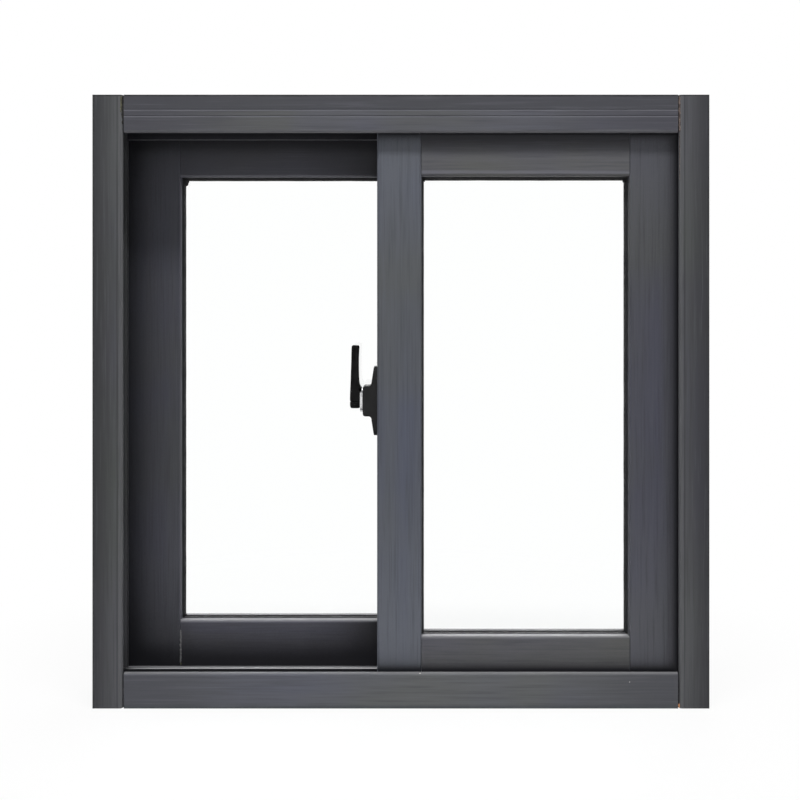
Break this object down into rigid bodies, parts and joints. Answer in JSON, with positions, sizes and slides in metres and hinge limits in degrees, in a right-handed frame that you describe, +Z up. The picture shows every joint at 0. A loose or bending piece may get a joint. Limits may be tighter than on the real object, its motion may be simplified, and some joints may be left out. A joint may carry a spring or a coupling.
{
  "type": "horizontal sliding window",
  "caption": "Horizontal sliding window: a charcoal aluminium frame, glazed sashes on grooved rollers, pile seals and a black lever lock on the meeting stile.",
  "frame": {"origin": "middle of the sill's underside, at the middle of the frame's depth", "axes": "+X to the right seen from the room, +Y from the room outwards, +Z up"},
  "size_m": [0.6, 0.082, 0.597],
  "materials": {
    "sash_paint": "satin charcoal grey paint",
    "black_rubber": "matt black rubber",
    "clear_glass": "clear float glass",
    "grey_pile": "dark grey woven base and pile",
    "carriage_nylon": "moulded grey nylon",
    "wheel_nylon": "turned off-white nylon",
    "black_nylon": "moulded black nylon",
    "foam": "brown closed-cell foam",
    "frame_paint": "satin charcoal grey paint",
    "lock_black": "matt black powder coat on a zinc casting",
    "lock_steel": "nickel-plated steel"
  },
  "bodies": {
    "window": {"front_bottom_rail": "sash_paint", "front_gasket": "black_rubber", "front_glass": "clear_glass", "front_hook_seal": "grey_pile", "front_hook_side_carriage": "carriage_nylon", "front_hook_side_wheel": "wheel_nylon", "front_hook_stile": "sash_paint", "front_jamb_side_carriage": "carriage_nylon", "front_jamb_side_wheel": "wheel_nylon", "front_side_stile": "sash_paint", "front_stile_caps": "black_nylon", "front_top_rail": "sash_paint", "head_joint_pads": "foam", "head_seals": "grey_pile", "head_track": "frame_paint", "jamb_bumpers": "black_rubber", "left_jamb": "frame_paint", "left_jamb_seals": "grey_pile", "lift_blocks": "black_nylon", "lock_base": "lock_black", "lock_keeper": "lock_steel", "lock_screws": "lock_steel", "rear_bottom_rail": "sash_paint", "rear_gasket": "black_rubber", "rear_glass": "clear_glass", "rear_hook_seal": "grey_pile", "rear_hook_side_carriage": "carriage_nylon", "rear_hook_side_wheel": "wheel_nylon", "rear_hook_stile": "sash_paint", "rear_jamb_side_carriage": "carriage_nylon", "rear_jamb_side_wheel": "wheel_nylon", "rear_side_stile": "sash_paint", "rear_stile_caps": "black_nylon", "rear_top_rail": "sash_paint", "right_jamb": "frame_paint", "right_jamb_seals": "grey_pile", "sill_joint_pads": "foam", "sill_seals": "grey_pile", "sill_track": "frame_paint"},
    "lever": {"lock_cam": "lock_steel", "lock_lever": "lock_black", "lock_spindle": "lock_steel"}
  },
  "joints": [
    {"name": "lever_turn", "type": "hinge", "parent": "window", "child": "lever", "pos_m": [-0.0234, -0.019, 0.2977], "axis": [1, 0, 0], "range_deg": [0, 180]}
  ]
}
